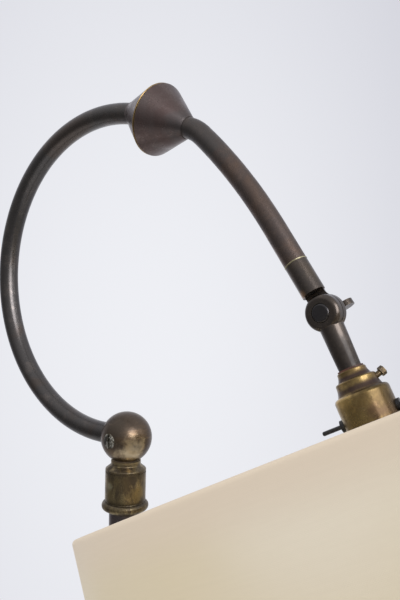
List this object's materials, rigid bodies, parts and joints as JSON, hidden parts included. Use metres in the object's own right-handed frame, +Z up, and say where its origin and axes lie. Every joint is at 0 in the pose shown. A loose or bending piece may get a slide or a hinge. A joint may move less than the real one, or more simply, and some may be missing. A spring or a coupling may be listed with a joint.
{
  "type": "reading floor lamp",
  "caption": "Floor reading lamp: weighted round base, sliding pole, looped swing arm on a ball, double cone swivel, tilting knuckle, push-bar bayonet lampholder and tilted drum shade.",
  "frame": {"origin": "on the floor under the middle of the pole, at the underside of the base pad", "axes": "+Z up along the pole, +X from the pole towards the shade, +Y away from the picture's camera side"},
  "size_m": [0.5579, 0.33, 1.4263],
  "materials": {
    "felt": "felt",
    "iron": "rough casting",
    "dark_bronze": "dark bronze patina, half polished",
    "aged_brass": "aged brass, mottled",
    "antique_brass": "antique brass, lacquered",
    "steel": "plain",
    "fibre": "vulcanised fibre",
    "black_plastic": "moulded",
    "worn_plug": "pitted",
    "flex": "sheathed flex",
    "white_core": "moulded",
    "shade_wire": "coated wire",
    "cream_shade": "smooth cream cloth on card",
    "bulb_glass": "opal"
  },
  "bodies": {
    "stand": {"base_pad": "felt", "base_weight": "iron", "base_shell": "dark_bronze", "base_nipple": "steel", "base_nut": "steel", "cord_gland": "black_plastic", "column_socket": "dark_bronze", "outer_column": "dark_bronze", "clamp_collar": "aged_brass", "guide_bush": "fibre"},
    "clamp_screw": {"clamp_screw": "aged_brass"},
    "pole": {"inner_pole": "dark_bronze", "pole_stop": "aged_brass", "top_collar": "aged_brass", "swivel_washer": "fibre", "flex_pole": "flex"},
    "loop": {"arm_ball": "aged_brass", "ball_plug": "worn_plug", "swivel_spindle": "steel", "spindle_nut": "steel", "loop_arm": "dark_bronze", "inner_cone": "dark_bronze", "flex_loop": "flex"},
    "outer_arm": {"outer_cone": "dark_bronze", "cone_spindle": "steel", "cone_nut": "steel", "cone_washer": "fibre", "outer_tube": "dark_bronze", "knuckle_upper": "dark_bronze", "flex_outer": "flex"},
    "head": {"knuckle_lower": "dark_bronze", "pivot_screw": "dark_bronze", "knuckle_washer": "fibre", "entry_washer": "fibre", "holder_cap": "antique_brass", "cap_screw": "antique_brass", "bar_guides": "black_plastic", "switch_body": "black_plastic", "terminal_screws": "aged_brass", "holder_skirt": "antique_brass", "holder_core": "white_core", "contact_plungers": "aged_brass", "contact_springs": "steel", "shade_ring": "antique_brass", "shade_spider": "shade_wire", "shade_bottom_ring": "shade_wire", "shade_skin": "cream_shade", "bulb_cap": "antique_brass", "bulb_glass": "bulb_glass", "flex_head": "flex"},
    "wing_nut": {"wing_nut": "dark_bronze"},
    "push_bar": {"push_bar": "black_plastic"}
  },
  "joints": [
    {"name": "clamp_screw_turn", "type": "hinge", "parent": "stand", "child": "clamp_screw", "pos_m": [0, 0, 0.72775], "axis": [0, 1, 0], "range_deg": [-180, 180]},
    {"name": "pole_slide", "type": "slide", "parent": "stand", "child": "pole", "axis": [0, 0, 1], "range_m": [-0.27, 0.2]},
    {"name": "loop_swivel", "type": "hinge", "parent": "pole", "child": "loop", "pos_m": [0, 0, 1.2089], "axis": [0, 0, 1], "range_deg": [-170, 170]},
    {"name": "arm_swivel", "type": "hinge", "parent": "loop", "child": "outer_arm", "pos_m": [0.02189, 0, 1.40549], "axis": [0.9478, 0, -0.319], "range_deg": [-160, 160]},
    {"name": "head_tilt", "type": "hinge", "parent": "outer_arm", "child": "head", "pos_m": [0.13621, 0, 1.29362], "axis": [0, -1, 0], "range_deg": [-5, 70]},
    {"name": "wing_nut_turn", "type": "hinge", "parent": "head", "child": "wing_nut", "pos_m": [0.13621, 0.009, 1.29362], "axis": [0, 1, 0], "range_deg": [-90, 90]},
    {"name": "push_bar_slide", "type": "slide", "parent": "head", "child": "push_bar", "axis": [0.8637, 0.2079, 0.4592], "range_m": [0, 0.0075]}
  ]
}
